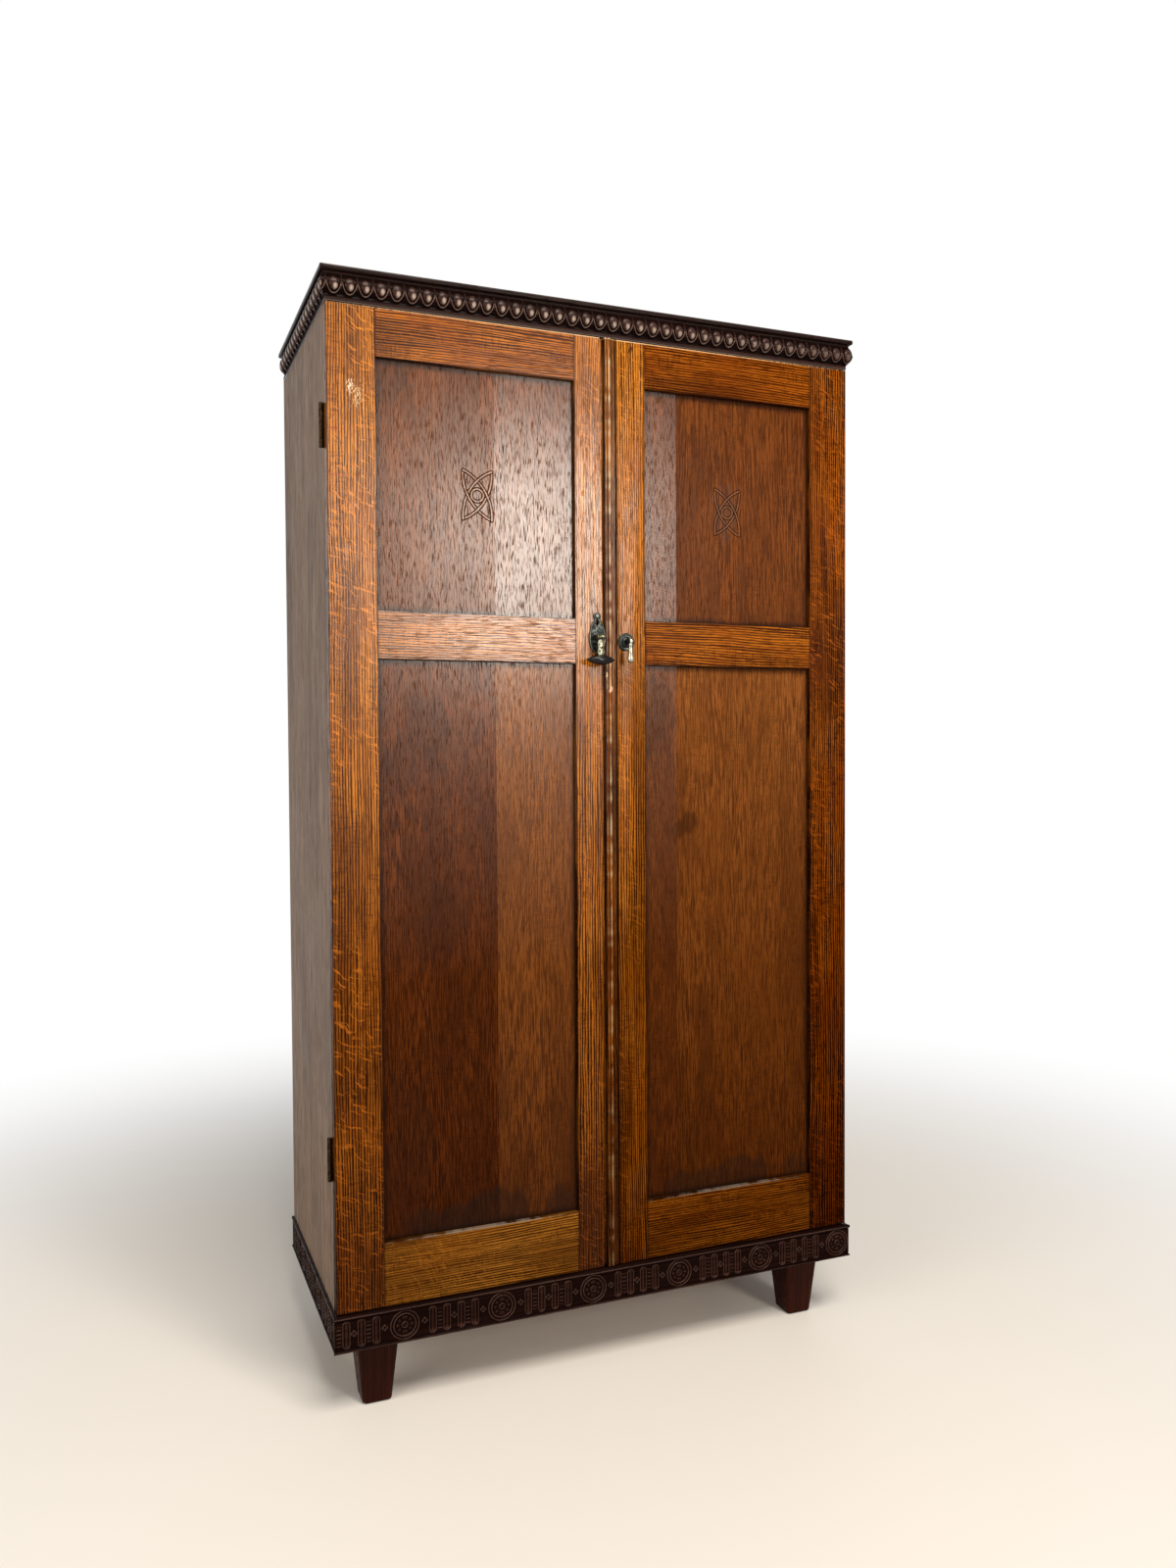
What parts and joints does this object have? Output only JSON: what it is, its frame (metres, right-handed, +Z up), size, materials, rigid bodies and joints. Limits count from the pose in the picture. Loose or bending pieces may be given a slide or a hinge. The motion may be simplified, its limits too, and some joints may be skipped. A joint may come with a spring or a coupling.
{
  "type": "wardrobe",
  "caption": "Wardrobe of oak with framed and panelled doors, carved cornice and plinth, tapered feet, drop pulls, hat shelf and hanging rail.",
  "frame": {"origin": "on the floor under the middle of the wardrobe's bounding box", "axes": "+X to the right seen from the front, +Y from the doors to the back, +Z up"},
  "size_m": [0.975, 0.4754, 1.83],
  "materials": {
    "oak_frame": "golden brown quartered oak, semi-gloss",
    "oak_panel": "red-brown oak, semi-gloss",
    "oak_side": "brown straight-grained oak, satin",
    "dark_oak": "very dark carved oak, satin",
    "interior_board": "plain interior boards, matt",
    "back_board": "thin back boards, matt",
    "ebonised_wood": "ebonised, polished",
    "hinge_brass": "dull old brass",
    "rail_brass": "dull brass tube",
    "pull_brass": "rubbed bright brass",
    "dark_bronze": "dark bronze, rubbed",
    "lock_steel": "dull steel"
  },
  "bodies": {
    "case": {"left_side": "oak_side", "right_side": "oak_side", "base_board": "interior_board", "roof_board": "interior_board", "hat_shelf": "interior_board", "shelf_bearers": "interior_board", "back_panel_left": "back_board", "back_panel_right": "back_board", "back_batten": "back_board", "hanging_rail": "rail_brass", "rail_sockets": "interior_board", "cap_board": "dark_oak", "cornice_front": "dark_oak", "cornice_left": "dark_oak", "cornice_right": "dark_oak", "cornice_back": "back_board", "plinth_front": "dark_oak", "plinth_left": "dark_oak", "plinth_right": "dark_oak", "plinth_back": "back_board", "front_feet": "dark_oak", "back_feet": "dark_oak", "foot_blocks": "interior_board", "case_hinge_leaves": "hinge_brass", "bolt_keepers": "hinge_brass"},
    "left_door": {"left_hinge_stile": "oak_frame", "left_meeting_stile": "oak_frame", "left_top_rail": "oak_frame", "left_middle_rail": "oak_frame", "left_bottom_rail": "oak_frame", "left_upper_panel": "oak_panel", "left_lower_panel": "oak_panel", "meeting_moulding": "oak_frame", "left_door_hinge_leaves": "hinge_brass", "lock_case": "lock_steel", "left_pull_plate": "dark_bronze", "left_pull_lug": "pull_brass", "left_pull_pin": "lock_steel"},
    "left_pull": {"left_pull_stem": "pull_brass", "left_pull_grip": "ebonised_wood"},
    "lock_bolt": {"lock_bolt": "lock_steel"},
    "right_door": {"right_hinge_stile": "oak_frame", "right_meeting_stile": "oak_frame", "right_top_rail": "oak_frame", "right_middle_rail": "oak_frame", "right_bottom_rail": "oak_frame", "right_upper_panel": "oak_panel", "right_lower_panel": "oak_panel", "right_door_hinge_leaves": "hinge_brass", "strike_plate": "hinge_brass", "bolt_plates": "hinge_brass", "right_pull_rose": "dark_bronze", "right_pull_spindle": "dark_bronze", "right_pull_nut": "lock_steel", "right_pull_pin": "lock_steel"},
    "right_pull": {"right_pull_drop": "pull_brass"},
    "top_bolt": {"top_bolt": "hinge_brass"},
    "bottom_bolt": {"bottom_bolt": "hinge_brass"}
  },
  "joints": [
    {"name": "left_door_hinge", "type": "hinge", "parent": "case", "child": "left_door", "pos_m": [-0.4829, -0.1918, 1.005], "axis": [0, 0, -1], "range_deg": [0, 170]},
    {"name": "right_door_hinge", "type": "hinge", "parent": "case", "child": "right_door", "pos_m": [0.4829, -0.1918, 1.005], "axis": [0, 0, 1], "range_deg": [0, 170]},
    {"name": "left_pull_swing", "type": "hinge", "parent": "left_door", "child": "left_pull", "pos_m": [-0.024, -0.2293, 1.267], "axis": [-1, 0, 0], "range_deg": [0, 75]},
    {"name": "right_pull_swing", "type": "hinge", "parent": "right_door", "child": "right_pull", "pos_m": [0.03, -0.2323, 1.261], "axis": [-1, 0, 0], "range_deg": [0, 75]},
    {"name": "lock_bolt_slide", "type": "slide", "parent": "left_door", "child": "lock_bolt", "axis": [1, 0, 0], "range_m": [0, 0.008]},
    {"name": "top_bolt_slide", "type": "slide", "parent": "right_door", "child": "top_bolt", "axis": [0, 0, 1], "range_m": [0, 0.012]},
    {"name": "bottom_bolt_slide", "type": "slide", "parent": "right_door", "child": "bottom_bolt", "axis": [0, 0, -1], "range_m": [0, 0.012]}
  ]
}
